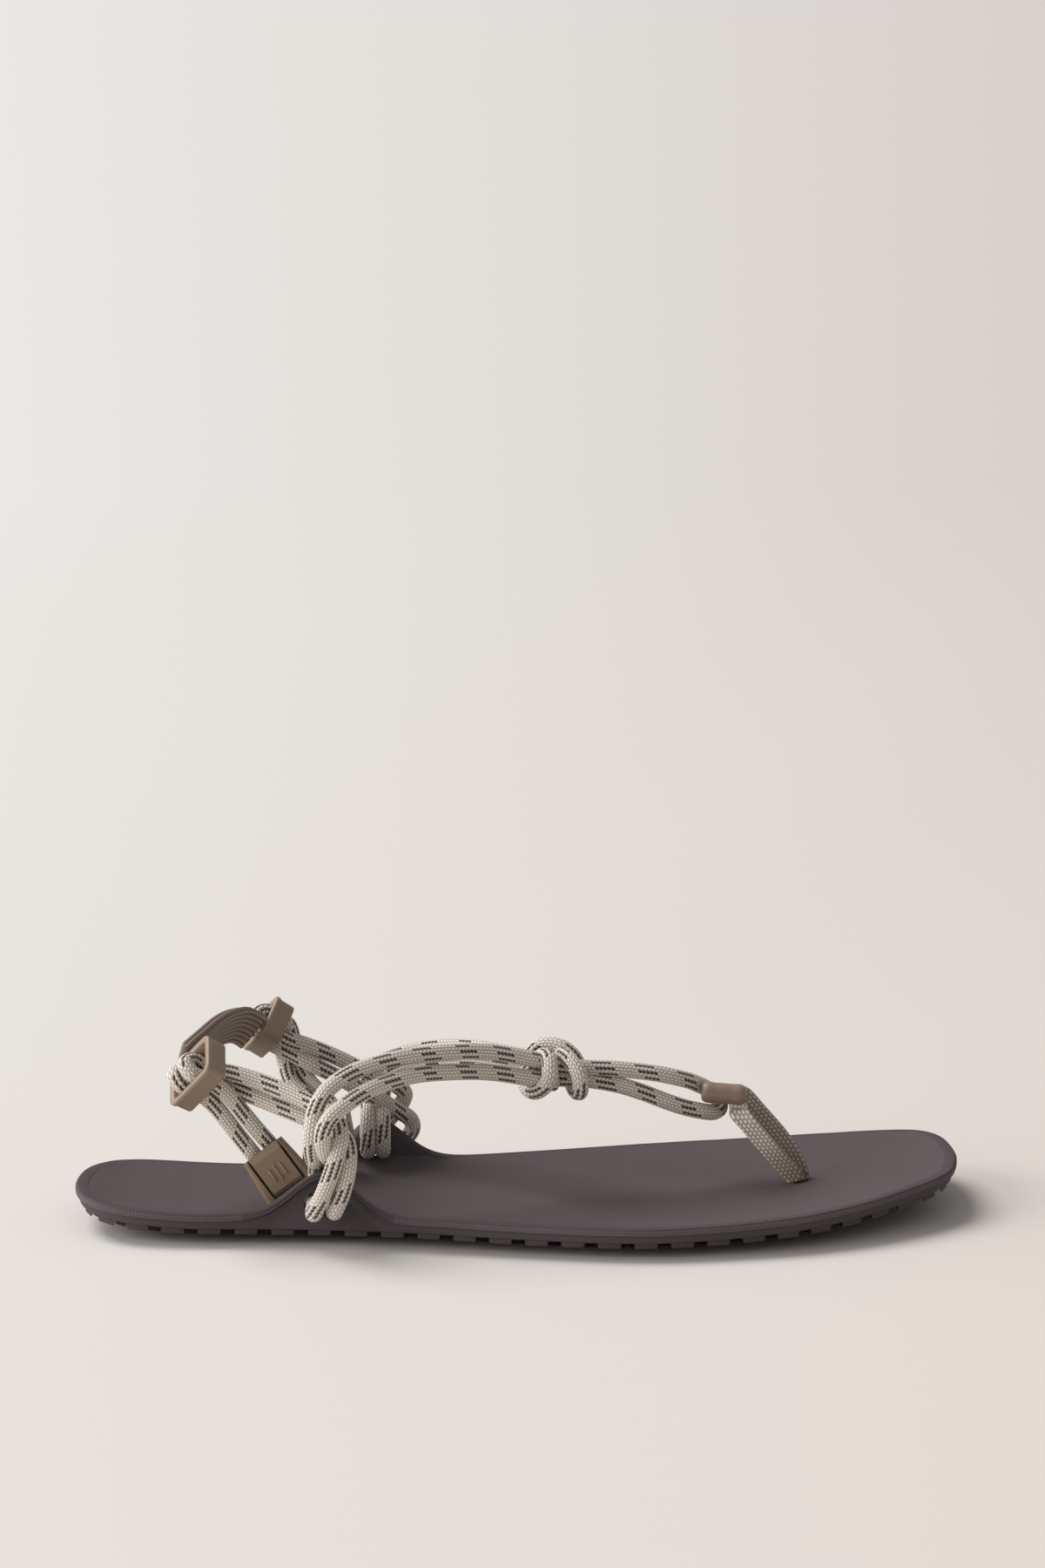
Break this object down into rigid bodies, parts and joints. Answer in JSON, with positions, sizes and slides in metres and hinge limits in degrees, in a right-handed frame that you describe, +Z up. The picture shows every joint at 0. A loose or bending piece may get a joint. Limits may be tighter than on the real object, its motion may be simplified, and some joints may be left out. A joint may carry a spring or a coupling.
{
  "type": "sport sandal",
  "caption": "Right-foot sport sandal: lugged rubber sole with side ears, knotted braided cord upper, toe post with bead, heel band and cord locks.",
  "frame": {"origin": "bottom centre of the box round the whole sandal, on the floor", "axes": "+X to the toe, +Y to the inner side of the foot, +Z up"},
  "size_m": [0.256, 0.1043, 0.0605],
  "materials": {
    "sole_rubber": "matt",
    "footbed_sheet": "matt",
    "braided_cord": "braided",
    "woven_tape": "woven",
    "brown_plastic": "satin",
    "heel_weave": "herringbone"
  },
  "bodies": {
    "root": {"sole": "sole_rubber", "footbed": "footbed_sheet", "cord_upper": "braided_cord", "toe_webbing": "woven_tape", "toe_bead": "brown_plastic", "ring_lateral": "brown_plastic", "ring_medial": "brown_plastic", "heel_strap": "heel_weave", "heel_tab": "brown_plastic", "lock_housing_lateral": "brown_plastic", "lock_panel_lateral": "brown_plastic", "lock_housing_medial": "brown_plastic", "lock_panel_medial": "brown_plastic"}
  },
  "joints": []
}
